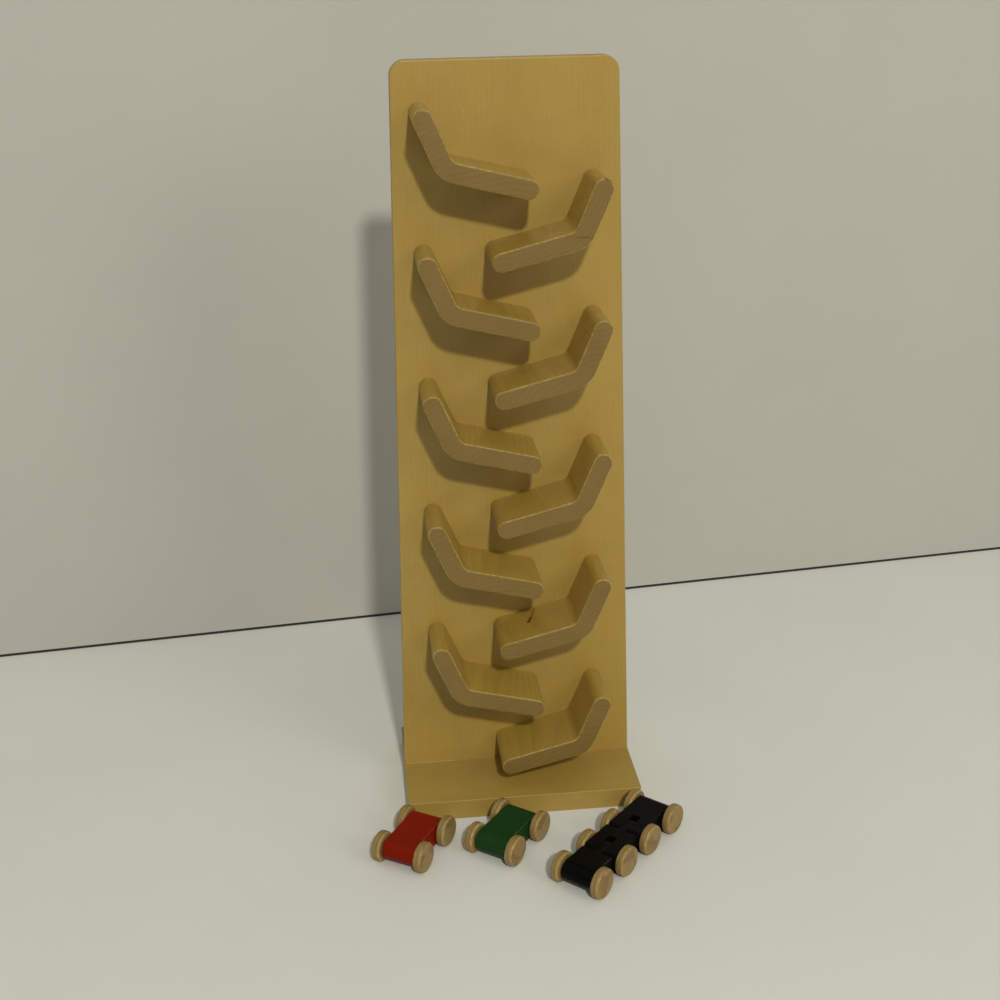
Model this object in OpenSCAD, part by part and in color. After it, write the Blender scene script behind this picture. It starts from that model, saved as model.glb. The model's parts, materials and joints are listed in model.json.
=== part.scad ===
// Click clack track: a leaning board with staggered wooden ramps,
// and three small cars that tumble from ramp to ramp.
// The origin is the middle of the base's underside, +Z is up and the ramps face -Y.

/* [Board] */
// Width of the base and of the foot of the board
board_w = 158; // [146:1:200]
// Width of the board at its top, where it is slimmer
board_top_w = 138.5; // [130:0.5:145]

// Height of the board along its face, above the base
board_h = 473; // [440:1:560]
// Thickness of the board
board_t = 12; // [9:0.5:16]
// Radius of the two top corners
board_corner_r = 9.5; // [2:0.5:25]
// Backward lean of the board in degrees
lean = 2.3; // [0.5:0.1:8]
// Depth of the groove in the base that seats the board
groove_d = 6; // [3:0.5:8]

/* [Base] */
// Depth of the base from front to back
base_d = 101; // [92:1:160]
// Thickness of the base
base_t = 14; // [11:0.5:20]
// Distance from the front of the base to the board's face
front_reach = 50.5; // [46:0.5:70]
// Radius of the base's upright corners
base_corner_r = 2; // [0.5:0.5:8]

/* [Ramps] */
// How far the ramps stand out from the board
ramp_depth = 44; // [38:0.5:46]
// Thickness of the bent ramp strip
ramp_t = 12; // [9:0.1:14]
// Slope of the running arm below level in degrees
run_slope = 13.9; // [8:0.1:18]
// Steepness of the rising arm above level in degrees
rise_slope = 66.8; // [55:0.1:80]
// Running arm from the bend point to the middle of its round tip
run_l = 50.2; // [44:0.1:55]
// Rising arm from the bend point to the middle of its round tip
rise_l = 32.2; // [26:0.1:38]
// Radius of the bend along the middle of the strip
bend_r = 12; // [9:0.1:18]
// Easing radius of the ramps' front edges
ramp_edge_r = 1; // [0.3:0.1:3]
// Bend point of every ramp from the middle of the board
ramp_offset = 40.2; // [37:0.1:47]
// Top of the board down to the first bend point
top_drop = 60; // [50:0.5:80]
// Base up to the last bend point
foot_rise = 29.1; // [24:0.1:40]
/* [Screws] */
// Diameter of the screw shanks
screw_d = 3.5; // [2.5:0.1:5]
// Diameter of the countersunk screw heads
head_d = 7; // [5.5:0.1:9]
// Length of the screws that hold the ramps
ramp_screw_l = 30; // [22:1:45]
// Length of the screws that hold the board on the base
base_screw_l = 32; // [22:1:45]
// Upper ramp screw from the bend point along the rising arm
rise_screw = 20; // [14:0.5:24]
// Lower ramp screw from the bend point along the running arm
run_screw = 36; // [20:0.5:42]

/* [Cars] */
// Diameter of the wheels
wheel_d = 20; // [17:0.1:23]
// Width of the wheels
wheel_w = 6.3; // [5:0.1:8]
// Rounding radius of the wheel rims
rim_r = 1.8; // [0.5:0.1:2.3]
// Height of the dome on the wheels' outer faces
dome_h = 0.6; // [0.2:0.1:1]
// Depth of the blind axle bore in the wheels
wheel_bore_d = 4.2; // [3:0.1:4.5]
// Diameter of the dowel axles
axle_d = 4.8; // [3.5:0.1:6]
// Width of the car bodies
body_w = 22.6; // [19:0.1:25]
// Thickness of the car bodies
body_t = 14.3; // [12:0.1:16]
// Wheelbase of the two short cars
short_base = 31.6; // [27:0.1:40]
// Axle pitch of the jointed car
joint_pitch = 28.3; // [27:0.1:36]
// Width of the hinge tongues
tongue_w = 5.2; // [4:0.1:8]
// Reach of the rounded fork tips past their hinge axle
fork_reach = 10; // [9:0.1:11]

/* [Clearances] */
// Gap between a wheel and the car body
wheel_gap = 0.7; // [0.4:0.05:1.5]
// Radial running gap of an axle in a car body
run_gap = 0.08; // [0.02:0.01:0.1]
// Radial gap of glued and screwed fits
fit_gap = 0.04; // [0.02:0.01:0.1]
// Gap at the end of a blind bore
end_gap = 0.3; // [0.1:0.1:0.5]
// Gap on each side of a hinge tongue
tongue_gap = 0.3; // [0.2:0.05:0.6]
// Gap between a fork tip and the shoulder that it turns against
shoulder_gap = 0.7; // [0.4:0.1:1.5]
// Gap between a tongue tip and the end of its slot
slot_gap = 1; // [0.5:0.1:2]

/* [Places] */
// Rear axle of the red car, in from the left side of the base
red_x = 10.1; // [-10:0.1:24]
// Heading of the red car in degrees
red_heading = -31.7; // [-40:0.1:-20]
// Gap between the red car and the base
red_gap = 1.2; // [1:0.1:20]
// Rear axle of the green car, left or right of the middle
green_x = -6.5; // [-15:0.1:5]
// Heading of the green car in degrees
green_heading = -37.6; // [-44:0.1:-28]
// Gap between the green car and the base
green_gap = 1.5; // [1:0.1:20]
// Rear axle of the jointed car, out from the right side of the base
black_x = 3.4; // [-9:0.1:21]
// Heading of the jointed car in degrees
black_heading = -43.1; // [-48:0.1:-30]
// Gap between the jointed car and the base
black_gap = 3; // [1:0.1:20]

/* [Hidden] */
$fn = 64;

// One overrun for every cut
overrun = 4;

// Colours of the lacquered woods, the paints and the screws
board_colour = [0.80, 0.64, 0.36];
ramp_colour = [0.70, 0.57, 0.36];
wheel_colour = [0.74, 0.61, 0.40];
dowel_colour = [0.82, 0.70, 0.48];
red_colour = [0.60, 0.13, 0.06];
green_colour = [0.10, 0.27, 0.12];
black_colour = [0.06, 0.06, 0.05];
screw_colour = [0.62, 0.62, 0.60];

// Ten ramps, counted from the top, left and right in turn
ramp_count = 10;
last_ramp = ramp_count - 1;
ramp_span = board_h - top_drop - foot_rise;

// Places of the four base screws across the board
base_screw_shares = [-0.36, -0.12, 0.12, 0.36];

// The board's sides slant in towards its top, and its top corners are round about these points
side_slant = atan((board_w - board_top_w) / 2 / board_h);
corner_y = board_h - board_corner_r;
corner_x = board_w / 2 - corner_y * tan(side_slant) - board_corner_r / cos(side_slant);
corner_out = board_corner_r * cos(side_slant);
corner_up = board_corner_r * sin(side_slant);

// Where the board's face meets the top of the base
crease_y = front_reach - base_d / 2;

// The bend of a ramp: how far it turns, the direction midway between its arms, and its tangent length
turn = rise_slope - run_slope;
halfway = (180 - rise_slope - run_slope) / 2;
tangent_l = bend_r * tan(turn / 2);

// How far the arms lap over the bend, and how much slimmer the bend is on each side
bend_lap = 0.6;
bend_ease = 0.05;

// Screw heads are cones of half the turned-down diameter
head_h = (head_d - screw_d) / 2;
head_sink = end_gap;
screw_hole_d = screw_d + 2 * fit_gap;
head_hole_d = head_d + 2 * fit_gap;

// Base screws stand upright and bite into the middle of the board's lower edge
base_bite = base_screw_l + head_sink - base_t + groove_d * cos(lean);
base_screw_y = crease_y + (base_bite / 2 - groove_d) * sin(lean) + board_t / 2 * cos(lean);

// The cars stand on their wheels
axle_z = wheel_d / 2;
axle_hole_d = axle_d + 2 * run_gap;
wheel_hole_d = axle_d + 2 * fit_gap;
axle_l = body_w + 2 * (wheel_gap + wheel_bore_d - end_gap);
half_track = body_w / 2 + wheel_gap + wheel_w;
dome_r = (axle_z * axle_z + dome_h * dome_h) / (2 * dome_h);

// Hinges of the jointed car
slot_w = tongue_w + 2 * tongue_gap;
shoulder_reach = fork_reach + shoulder_gap;
slot_reach = body_t / 2 + slot_gap;

// Axle places behind each car's front, measured forward from the rear axle
axle_1_y = -3 * joint_pitch;
axle_2_y = -2 * joint_pitch;
axle_3_y = -joint_pitch;

red_place = [red_x - board_w / 2, red_gap, red_heading];
green_place = [green_x, green_gap, green_heading];
black_place = [black_x + board_w / 2, black_gap, black_heading];

// Height of a ramp's bend point above the base
function ramp_height(k) = board_h - top_drop - ramp_span * k / last_ramp;

// How far a car's rear wheels reach back from its rear axle at a heading
function rear_reach(heading) = axle_z * cos(heading) + half_track * abs(sin(heading));

// Puts a flat panel, drawn in XY with +Z out of its face, where the leaning board stands
module on_board() {
    translate([0, crease_y, base_t]) rotate([90 - lean, 0, 0]) children();
}

// Puts a ramp's own shape at its place on the board, mirrored on the right
module at_ramp(k) {
    if (k % 2 == 0) {
        translate([-ramp_offset, ramp_height(k), 0]) children();
    } else {
        mirror([1, 0, 0]) translate([-ramp_offset, ramp_height(k), 0]) children();
    }
}

// The two screw places on a ramp, along its rising and its running arm
module at_ramp_screws() {
    along_rise() translate([rise_screw, 0, 0]) children();
    along_run() translate([run_screw, 0, 0]) children();
}

// The four screw places under the base
module at_base_screws() {
    for (share = base_screw_shares) {
        translate([share * board_w, base_screw_y, head_sink]) children();
    }
}

// A car's rear axle, with -Y towards its front
module at_car(place) {
    translate([place[0], -base_d / 2 - place[1] - rear_reach(place[2]), axle_z])
        rotate([0, 0, place[2]]) children();
}

// Cross-section of the ramp strip at a thickness, with its two front edges eased
module strip_section(thick) {
    translate([-thick / 2, 0]) square([thick, ramp_depth - ramp_edge_r]);
    translate([ramp_edge_r - thick / 2, 0]) square([thick - 2 * ramp_edge_r, ramp_depth]);
    for (side = [-1, 1]) {
        translate([side * (thick / 2 - ramp_edge_r), ramp_depth - ramp_edge_r]) circle(r = ramp_edge_r);
    }
}

// Half of the strip's cross-section, turned for the round tips
module tip_section() {
    square([ramp_t / 2, ramp_depth - ramp_edge_r]);
    square([ramp_t / 2 - ramp_edge_r, ramp_depth]);
    translate([ramp_t / 2 - ramp_edge_r, ramp_depth - ramp_edge_r]) circle(r = ramp_edge_r);
}

// A straight arm along +X that laps the end of the bend and runs to a full round tip
module ramp_arm(reach) {
    translate([tangent_l - bend_lap, 0, 0]) rotate([90, 0, 90])
        linear_extrude(height = reach - tangent_l + bend_lap) strip_section(ramp_t);
    translate([reach, 0, 0]) rotate_extrude() tip_section();
}

// The bend between the two arms, sanded a shade slimmer, about its own centre
module ramp_bend() {
    rotate([0, 0, halfway]) translate([bend_r / cos(turn / 2), 0, 0]) rotate([0, 0, 180 - turn / 2])
        rotate_extrude(angle = turn) translate([bend_r, 0]) strip_section(ramp_t - 2 * bend_ease);
}

// The two arms' own directions from the bend point
module along_run() {
    rotate([0, 0, -run_slope]) children();
}

module along_rise() {
    rotate([0, 0, 180 - rise_slope]) children();
}

// The whole bent strip, with its bend point at the origin
module ramp_strip() {
    ramp_bend();
    along_run() ramp_arm(run_l);
    along_rise() ramp_arm(rise_l);
}

// A flat slab seen from the side, spread over the car's width
module across(width) {
    rotate([90, 0, 90]) translate([0, 0, -width / 2]) linear_extrude(height = width) children();
}

// Side outline of a bar with round ends between two axles
module bar_outline(from_y, to_y) {
    translate([from_y, -body_t / 2]) square([to_y - from_y, body_t]);
    translate([from_y, 0]) circle(d = body_t);
    translate([to_y, 0]) circle(d = body_t);
}

// Side outline of a block that starts as a round nose and ends in a flat shoulder
module nose_outline(nose_y, shoulder_y) {
    translate([nose_y, -body_t / 2]) square([shoulder_y - nose_y, body_t]);
    translate([nose_y, 0]) circle(d = body_t);
}

// Side outline of a fork tip rounded about its hinge axle, running back to an end
module fork_outline(hinge_y, end_y) {
    intersection() {
        translate([hinge_y - fork_reach, -body_t / 2]) square([fork_reach, body_t]);
        translate([hinge_y, 0]) circle(r = fork_reach);
    }
    translate([hinge_y, -body_t / 2]) square([end_y - hinge_y, body_t]);
}

// A running hole for an axle right across a car
module axle_hole(place_y) {
    translate([-body_w / 2 - overrun, place_y, 0]) rotate([0, 90, 0])
        cylinder(d = axle_hole_d, h = body_w + 2 * overrun);
}

// The slot that takes a hinge tongue
module tongue_slot(hinge_y) {
    translate([-slot_w / 2, hinge_y - fork_reach - overrun, -body_t / 2 - overrun])
        cube([slot_w, fork_reach + overrun + slot_reach, body_t + 2 * overrun]);
}

// A hinge tongue with a round tip about its axle
module tongue(shoulder_y, hinge_y) {
    across(tongue_w) {
        translate([shoulder_y - body_t / 2, -body_t / 2]) square([hinge_y - shoulder_y + body_t / 2, body_t]);
        translate([hinge_y, 0]) circle(d = body_t);
    }
}

// A countersunk screw with its head at the bottom, pointing up
module screw(length) {
    cylinder(d1 = head_d, d2 = screw_d, h = head_h);
    translate([0, 0, head_h]) cylinder(d = screw_d, h = length - head_h);
}

// The hole that such a screw fills, with room at its tip and below its head
module screw_hole(length) {
    translate([0, 0, -overrun]) cylinder(d = head_hole_d, h = overrun);
    cylinder(d1 = head_hole_d, d2 = screw_hole_d, h = head_h);
    cylinder(d = screw_hole_d, h = length + end_gap);
}

// Plank that carries the board in a slanted groove
module base() {
    color(board_colour) difference() {
        linear_extrude(height = base_t) {
            translate([-board_w / 2 + base_corner_r, -base_d / 2])
                square([board_w - 2 * base_corner_r, base_d]);
            translate([-board_w / 2, -base_d / 2 + base_corner_r])
                square([board_w, base_d - 2 * base_corner_r]);
            for (x = [-1, 1], y = [-1, 1]) {
                translate([x * (board_w / 2 - base_corner_r), y * (base_d / 2 - base_corner_r)])
                    circle(r = base_corner_r);
            }
        }
        on_board() translate([-board_w / 2 - overrun, -groove_d, -board_t - fit_gap])
            cube([board_w + 2 * overrun, groove_d + overrun, board_t + 2 * fit_gap]);
        at_base_screws() screw_hole(base_screw_l);
    }
}

// Outline of the board's face, slimmer at the top
module board_outline() {
    polygon([
        [-board_w / 2, -groove_d], [board_w / 2, -groove_d], [board_w / 2, 0],
        [corner_x + corner_out, corner_y + corner_up], [corner_x, corner_y], [corner_x, board_h],
        [-corner_x, board_h], [-corner_x, corner_y], [-corner_x - corner_out, corner_y + corner_up],
        [-board_w / 2, 0]
    ]);
    for (x = [-1, 1]) {
        translate([x * corner_x, corner_y]) circle(r = board_corner_r);
    }
}

// Tall board with round top corners, drilled for the screws
module board() {
    color(board_colour) difference() {
        on_board() translate([0, 0, -board_t]) linear_extrude(height = board_t) board_outline();
        on_board() for (k = [0 : last_ramp]) {
            at_ramp(k) at_ramp_screws() translate([0, 0, head_sink - board_t]) screw_hole(ramp_screw_l);
        }
        at_base_screws() screw_hole(base_screw_l);
    }
}

// A bent strip with round tips, standing out from the board
module ramp(k) {
    color(ramp_colour) on_board() at_ramp(k) difference() {
        ramp_strip();
        at_ramp_screws() translate([0, 0, head_sink - board_t]) screw_hole(ramp_screw_l);
    }
}

// Two screws through the board's back into every ramp
module ramp_screws() {
    color(screw_colour) on_board() for (k = [0 : last_ramp]) {
        at_ramp(k) at_ramp_screws() translate([0, 0, head_sink - board_t]) screw(ramp_screw_l);
    }
}

// Four screws up through the base into the board
module base_screws() {
    color(screw_colour) at_base_screws() screw(base_screw_l);
}

// One-piece body of a short car
module short_body(place, paint) {
    color(paint) at_car(place) difference() {
        across(body_w) bar_outline(-short_base, 0);
        axle_hole(-short_base);
        axle_hole(0);
    }
}

// Leading block of the jointed car, with a tongue behind
module black_front_body() {
    color(black_colour) at_car(black_place) difference() {
        union() {
            across(body_w) nose_outline(axle_1_y, axle_2_y - shoulder_reach);
            tongue(axle_2_y - shoulder_reach, axle_2_y);
        }
        axle_hole(axle_1_y);
        axle_hole(axle_2_y);
    }
}

// Middle block of the jointed car, with a fork ahead and a tongue behind
module black_middle_body() {
    color(black_colour) at_car(black_place) difference() {
        union() {
            across(body_w) fork_outline(axle_2_y, axle_3_y - shoulder_reach);
            tongue(axle_3_y - shoulder_reach, axle_3_y);
        }
        tongue_slot(axle_2_y);
        axle_hole(axle_2_y);
        axle_hole(axle_3_y);
    }
}

// Rear block of the jointed car, with a fork ahead and a round tail
module black_rear_body() {
    color(black_colour) at_car(black_place) difference() {
        across(body_w) {
            fork_outline(axle_3_y, 0);
            circle(d = body_t);
        }
        tongue_slot(axle_3_y);
        axle_hole(axle_3_y);
        axle_hole(0);
    }
}

// Dowel that turns in the body and is glued into two wheels
module axle(place, place_y) {
    color(dowel_colour) at_car(place) translate([-axle_l / 2, place_y, 0]) rotate([0, 90, 0])
        cylinder(d = axle_d, h = axle_l);
}

// Turned wheel with a round rim, a domed face and a blind bore on its inner face
module wheel(place, place_y, side) {
    color(wheel_colour) at_car(place) translate([0, place_y, 0]) rotate([0, 0, side < 0 ? 180 : 0])
        translate([body_w / 2 + wheel_gap, 0, 0]) rotate([0, 90, 0]) difference() {
            rotate_extrude() intersection() {
                union() {
                    square([axle_z - rim_r, wheel_w]);
                    translate([0, rim_r]) square([axle_z, wheel_w - 2 * rim_r]);
                    for (height = [rim_r, wheel_w - rim_r]) {
                        translate([axle_z - rim_r, height]) circle(r = rim_r);
                    }
                }
                translate([0, wheel_w - dome_r]) circle(r = dome_r, $fn = 256);
            }
            translate([0, 0, -overrun]) cylinder(d = wheel_hole_d, h = wheel_bore_d + overrun);
        }
}

base();
board();
ramp(0);  // ramp_left_1
ramp(1);  // ramp_right_1
ramp(2);  // ramp_left_2
ramp(3);  // ramp_right_2
ramp(4);  // ramp_left_3
ramp(5);  // ramp_right_3
ramp(6);  // ramp_left_4
ramp(7);  // ramp_right_4
ramp(8);  // ramp_left_5
ramp(9);  // ramp_right_5
ramp_screws();
base_screws();
short_body(red_place, red_colour);  // red_body
axle(red_place, -short_base);  // red_front_axle
axle(red_place, 0);  // red_rear_axle
wheel(red_place, -short_base, -1);  // red_front_left_wheel
wheel(red_place, -short_base, 1);  // red_front_right_wheel
wheel(red_place, 0, -1);  // red_rear_left_wheel
wheel(red_place, 0, 1);  // red_rear_right_wheel
short_body(green_place, green_colour);  // green_body
axle(green_place, -short_base);  // green_front_axle
axle(green_place, 0);  // green_rear_axle
wheel(green_place, -short_base, -1);  // green_front_left_wheel
wheel(green_place, -short_base, 1);  // green_front_right_wheel
wheel(green_place, 0, -1);  // green_rear_left_wheel
wheel(green_place, 0, 1);  // green_rear_right_wheel
black_front_body();
black_middle_body();
black_rear_body();
axle(black_place, axle_1_y);  // black_axle_1
axle(black_place, axle_2_y);  // black_axle_2
axle(black_place, axle_3_y);  // black_axle_3
axle(black_place, 0);  // black_axle_4
wheel(black_place, axle_1_y, -1);  // black_left_wheel_1
wheel(black_place, axle_1_y, 1);  // black_right_wheel_1
wheel(black_place, axle_2_y, -1);  // black_left_wheel_2
wheel(black_place, axle_2_y, 1);  // black_right_wheel_2
wheel(black_place, axle_3_y, -1);  // black_left_wheel_3
wheel(black_place, axle_3_y, 1);  // black_right_wheel_3
wheel(black_place, 0, -1);  // black_left_wheel_4
wheel(black_place, 0, 1);  // black_right_wheel_4
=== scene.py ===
import json
import math

import bmesh
import bpy
from bpy.props import FloatProperty, FloatVectorProperty, PointerProperty
from mathutils import Matrix, Vector


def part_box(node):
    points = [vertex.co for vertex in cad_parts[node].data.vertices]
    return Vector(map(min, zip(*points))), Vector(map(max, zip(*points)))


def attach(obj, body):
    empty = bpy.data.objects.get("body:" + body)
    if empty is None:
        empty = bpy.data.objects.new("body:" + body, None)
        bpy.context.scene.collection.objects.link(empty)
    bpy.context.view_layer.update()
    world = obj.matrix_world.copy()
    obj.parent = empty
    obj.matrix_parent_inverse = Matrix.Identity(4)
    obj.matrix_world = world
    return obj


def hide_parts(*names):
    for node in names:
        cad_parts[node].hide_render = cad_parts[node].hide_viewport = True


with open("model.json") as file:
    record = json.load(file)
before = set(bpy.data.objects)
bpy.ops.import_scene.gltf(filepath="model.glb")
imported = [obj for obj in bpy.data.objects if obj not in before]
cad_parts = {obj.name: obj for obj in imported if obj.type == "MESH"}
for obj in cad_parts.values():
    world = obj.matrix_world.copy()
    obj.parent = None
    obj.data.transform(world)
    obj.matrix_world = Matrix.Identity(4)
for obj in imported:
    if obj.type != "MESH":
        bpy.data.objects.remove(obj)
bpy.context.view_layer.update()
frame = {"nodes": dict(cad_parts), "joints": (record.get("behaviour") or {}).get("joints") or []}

bl_info = {
    "name": "Click clack track",
    "version": (1, 0, 0),
    "blender": (4, 5, 0),
    "location": "View3D > Sidebar > Track",
    "description": "Builds a leaning wooden track with ten ramps and three rolling cars",
    "category": "Add Mesh",
}

LEFT_RAMPS = ("ramp_left_1", "ramp_left_2", "ramp_left_3", "ramp_left_4", "ramp_left_5")
RIGHT_RAMPS = ("ramp_right_1", "ramp_right_2", "ramp_right_3", "ramp_right_4", "ramp_right_5")
RAMPS = tuple(name for pair in zip(LEFT_RAMPS, RIGHT_RAMPS) for name in pair)

# Smallest distances that count, in metres, and the merge after a cut, in millimetres
TINY = 1e-7
CLOSE = 1e-6
SLIGHT = 1e-4
MILLIMETRES = 1000.0
CUT_MERGE = 1e-4

# Angles in radians from which an edge counts as sharp, for rounding and for shading
SHARP = 0.6
SMOOTH_ANGLE = math.radians(30.0)

# How finely round shapes are stepped
SCREW_STEPS = 32
BORE_STEPS = 38
WHEEL_STEPS = 72
BLOCK_STEPS = 96
TIP_STEPS = 20
BEND_STEPS = 18
CORNER_STEPS = 14
BASE_CORNER_STEPS = 5
SECTION_STEPS = 4
EASE_STEPS = 3
RIM_STEPS = 8

# How far cutters run past a surface, in metres, and how shapes are turned about their axes
HOLE_CLEAR = 0.004
GROOVE_REACH = 1.0
BORE_TURN = 0.11
SCREW_TURN = 1.3
WHEEL_TURN = 2.39996

# Width of the stage's sheets, and how far the heart of the planks' tree lies beside and behind them
SHEET = 6.0
HEART_BESIDE = 0.34
HEART_BEHIND = 0.05


def length(name, description, default):
    """A length in metres, shown in the scene's units."""
    return FloatProperty(
        name=name, description=description, default=default, min=0.0, unit="LENGTH", precision=5
    )


def angle(name, description, degrees):
    """An angle, typed in degrees and kept in radians."""
    return FloatProperty(name=name, description=description, default=math.radians(degrees), subtype="ANGLE")


def brightness(name, description, default, unit="NONE"):
    """How strong a light is."""
    return FloatProperty(name=name, description=description, default=default, min=0.0, unit=unit)


def tint(name, description, default):
    """A linear colour."""
    return FloatVectorProperty(
        name=name, description=description, default=default, size=3, min=0.0, max=1.0, subtype="COLOR"
    )


class TowerSettings(bpy.types.PropertyGroup):
    """Sizes of the base and the leaning board."""

    lean: angle("Lean", "How far the board leans back from upright", 2.3)
    front_reach: length("Front reach", "Base that shows in front of the board", 0.0505)
    board_thick: length("Board thickness", "Thickness of the board", 0.012)
    board_top: length("Board top width", "Width of the board at its top", 0.1385)
    board_height: length("Board height", "Height of the board's face above the base", 0.473)
    corner: length("Top corner radius", "Radius of the two top corners", 0.0095)
    groove: length("Groove depth", "How deep the board sits in the base", 0.006)
    base_corner: length("Base corner radius", "Radius of the base's upright corners", 0.002)
    ease: length("Sanded edge", "Radius sanded on the long edges", 0.0009)
    slack: length("Groove slack", "Room on each side of the board in its groove", 0.00004)


class RampSettings(bpy.types.PropertyGroup):
    """Sizes of the bent strips that the cars tumble down."""

    depth: length("Depth", "How far a ramp stands out from the board", 0.044)
    thick: length("Thickness", "Thickness of the strip", 0.012)
    run_slope: angle("Run slope", "Slope of the running arm", 13.9)
    rise_slope: angle("Rise slope", "Slope of the rising arm", 66.8)
    run_length: length("Run length", "Bend point to the running arm's tip centre", 0.0502)
    rise_length: length("Rise length", "Bend point to the rising arm's tip centre", 0.0322)
    bend: length("Bend radius", "Middle radius of the bend", 0.012)
    edge: length("Front edge radius", "Radius sanded on the front edges", 0.0012)
    offset: length("Side offset", "Bend point to the middle of the board", 0.0402)
    top_drop: length("Top drop", "First bend point below the board's top", 0.060)
    foot_rise: length("Foot rise", "Last bend point above the base", 0.0291)


class ScrewSettings(bpy.types.PropertyGroup):
    """Sizes of the countersunk screws."""

    shank: length("Shank diameter", "Diameter of the shank", 0.0035)
    head: length("Head diameter", "Diameter of the head", 0.007)
    ramp_length: length("Ramp screw length", "Length of the screws behind the ramps", 0.030)
    base_length: length("Base screw length", "Length of the screws under the base", 0.032)
    sink: length("Sink", "How deep the heads sit below the wood", 0.0003)
    fit: length("Fit", "Room around a screw in its hole", 0.00004)
    rise_place: length("Rise place", "Bend point to the screw in the rising arm", 0.020)
    run_place: length("Run place", "Bend point to the screw in the running arm", 0.036)
    slot_width: length("Recess width", "Width of the cross recess", 0.0011)
    slot_span: length("Recess span", "Span of the cross recess", 0.0042)
    slot_depth: length("Recess depth", "Depth of the cross recess", 0.0011)


class CarSettings(bpy.types.PropertyGroup):
    """Sizes of the cars and their wheels."""

    wheel: length("Wheel diameter", "Diameter of a wheel", 0.020)
    wheel_width: length("Wheel width", "Width of a wheel", 0.0063)
    rim: length("Rim radius", "Radius turned on the rims", 0.0018)
    dome: length("Dome", "Rise of the wheel's outer face", 0.0006)
    bore: length("Bore depth", "Depth of the blind bore", 0.0042)
    axle: length("Axle diameter", "Diameter of the dowel axles", 0.0048)
    bore_fit: length("Bore fit", "Room around an axle in its wheel", 0.00004)
    axle_slack: length("Axle slack", "Room around an axle in a body", 0.00008)
    wheel_gap: length("Wheel gap", "Body to wheel", 0.0007)
    body_width: length("Body width", "Width of a body", 0.0226)
    body_thick: length("Body thickness", "Thickness of a body", 0.0143)
    edge: length("Body edge", "Radius sanded on the bodies' edges", 0.0008)
    crisp: length("Slot edge", "Small radius on the edges of the slots", 0.00022)
    tongue: length("Tongue width", "Width of a hinge tongue", 0.0052)
    tongue_gap: length("Tongue gap", "Room beside a tongue in its slot", 0.0003)
    fork_reach: length("Fork reach", "Hinge axle to the fork's tip", 0.010)
    shoulder_gap: length("Shoulder gap", "Fork tip to the shoulder ahead", 0.0007)
    slot_gap: length("Slot gap", "Tongue tip to the slot's end", 0.001)


class WoodSettings(bpy.types.PropertyGroup):
    """Colours of the bare and lacquered wood."""

    board_pale: tint("Board pale", "Early wood of the board", (0.374, 0.252, 0.053))
    board_deep: tint("Board deep", "Late wood of the board", (0.300, 0.188, 0.030))
    ramp_pale: tint("Ramp pale", "Long grain of the ramps", (0.392, 0.258, 0.046))
    ramp_deep: tint("Ramp deep", "Late wood of the ramps", (0.300, 0.185, 0.025))
    end_pale: tint("End grain pale", "Sawn ends of the ramps", (0.200, 0.127, 0.031))
    end_deep: tint("End grain deep", "Late wood at the sawn ends", (0.135, 0.081, 0.014))
    wheel_pale: tint("Wheel pale", "Early wood of the wheels", (0.305, 0.206, 0.068))
    wheel_deep: tint("Wheel deep", "Late wood of the wheels", (0.195, 0.118, 0.031))
    dowel: tint("Dowel", "Plain dowel wood", (0.380, 0.270, 0.120))
    # Lighter wood laid on eased edges, partly as rubbed wear and partly as a painted highlight, and on two
    # small light marks
    worn: tint("Rubbed wood", "Wood that shows at rubbed edges", (0.500, 0.370, 0.140))
    knot: tint("Knot", "Brown of a knot", (0.085, 0.030, 0.008))


class PaintSettings(bpy.types.PropertyGroup):
    """Colours of the paints and the steel."""

    red: tint("Red", "Red satin paint", (0.205, 0.0105, 0.0015))
    green: tint("Green", "Green satin paint", (0.0115, 0.046, 0.0095))
    black: tint("Black", "Black satin paint", (0.0030, 0.0029, 0.0024))
    steel: tint("Steel", "Plated screws", (0.56, 0.54, 0.48))


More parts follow.
